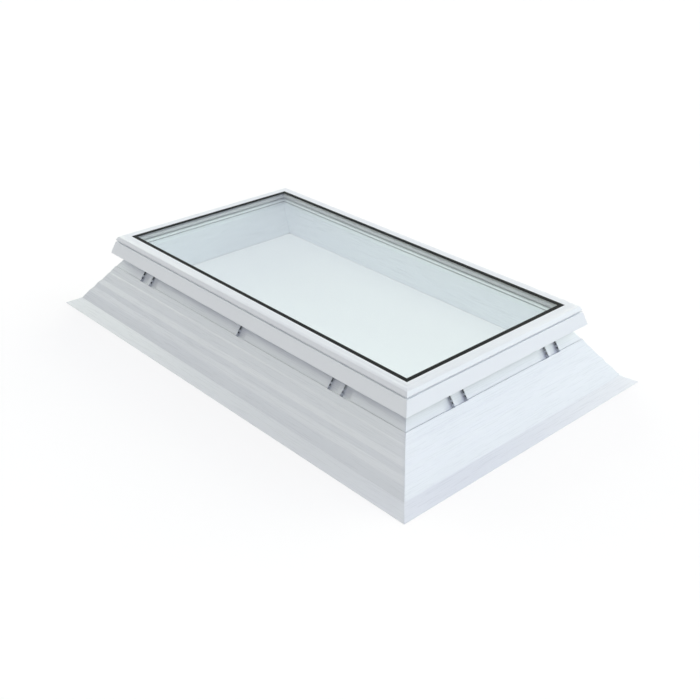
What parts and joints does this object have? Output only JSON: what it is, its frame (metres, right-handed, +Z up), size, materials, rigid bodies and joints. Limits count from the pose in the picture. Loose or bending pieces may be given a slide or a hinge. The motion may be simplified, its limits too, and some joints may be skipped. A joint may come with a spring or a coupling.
{
  "type": "roof skylight",
  "caption": "Fixed rectangular flat-roof skylight: sealed double glazing in a two-part white frame on a sloping ribbed hollow upstand with a wedge-shaped base flange.",
  "frame": {"origin": "centre of the base, on the roof surface that the flange lies on", "axes": "+X along the long sides, +Y across the width towards the back side, +Z up"},
  "size_m": [1.326, 0.826, 0.2061],
  "materials": {
    "upstand_pvc": "satin-gloss rigid white PVC, faintly wavy from extrusion",
    "frame_pvc": "satin-gloss rigid white PVC",
    "clear_glass": "clear, very slightly green",
    "spacer_metal": "matt mill finish",
    "black_rubber": "matt black",
    "grey_rubber": "matt grey",
    "stainless": "plain stainless"
  },
  "bodies": {
    "root": {"upstand_front": "upstand_pvc", "upstand_back": "upstand_pvc", "upstand_left": "upstand_pvc", "upstand_right": "upstand_pvc", "base_frame_front": "frame_pvc", "base_frame_back": "frame_pvc", "base_frame_left": "frame_pvc", "base_frame_right": "frame_pvc", "glazing_frame_front": "frame_pvc", "glazing_frame_back": "frame_pvc", "glazing_frame_left": "frame_pvc", "glazing_frame_right": "frame_pvc", "upstand_seal": "grey_rubber", "frame_strip": "frame_pvc", "outer_pane": "clear_glass", "inner_pane": "clear_glass", "spacer_bar": "spacer_metal", "edge_sealant": "black_rubber", "glazing_gasket": "black_rubber", "cushion_gasket": "grey_rubber", "setting_blocks": "grey_rubber", "hold_down_clips": "stainless", "clip_screws_up": "stainless", "clip_screws_side": "stainless", "frame_joining_screws": "stainless"}
  },
  "joints": []
}
